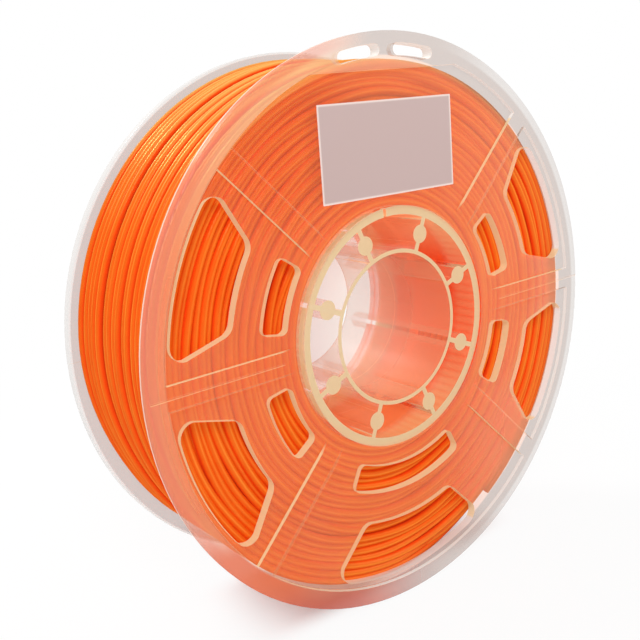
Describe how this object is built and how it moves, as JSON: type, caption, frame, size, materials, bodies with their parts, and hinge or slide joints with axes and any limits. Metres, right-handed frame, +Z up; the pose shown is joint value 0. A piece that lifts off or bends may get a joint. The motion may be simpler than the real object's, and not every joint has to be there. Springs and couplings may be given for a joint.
{
  "type": "filament spool",
  "caption": "Clear two-piece spool of orange printing filament, with windowed flanges, a ribbed hub round a wide through bore, and a blank label.",
  "frame": {"origin": "on the bore's axis, half way between the two flanges", "axes": "+Y along the bore from the labelled flange to the plain one, +Z up through the middle of the label, +X to the right of someone who faces the label"},
  "size_m": [0.2, 0.061, 0.2],
  "materials": {
    "clear_plastic": "clear moulded polystyrene, glossy, slightly milky",
    "filament": "orange thermoplastic strand, satin gloss",
    "label_paper": "matt coated paper, blank"
  },
  "bodies": {
    "root": {"front_half": "clear_plastic", "rear_half": "clear_plastic", "filament_core": "filament", "filament_winding": "filament", "label": "label_paper"}
  },
  "joints": []
}
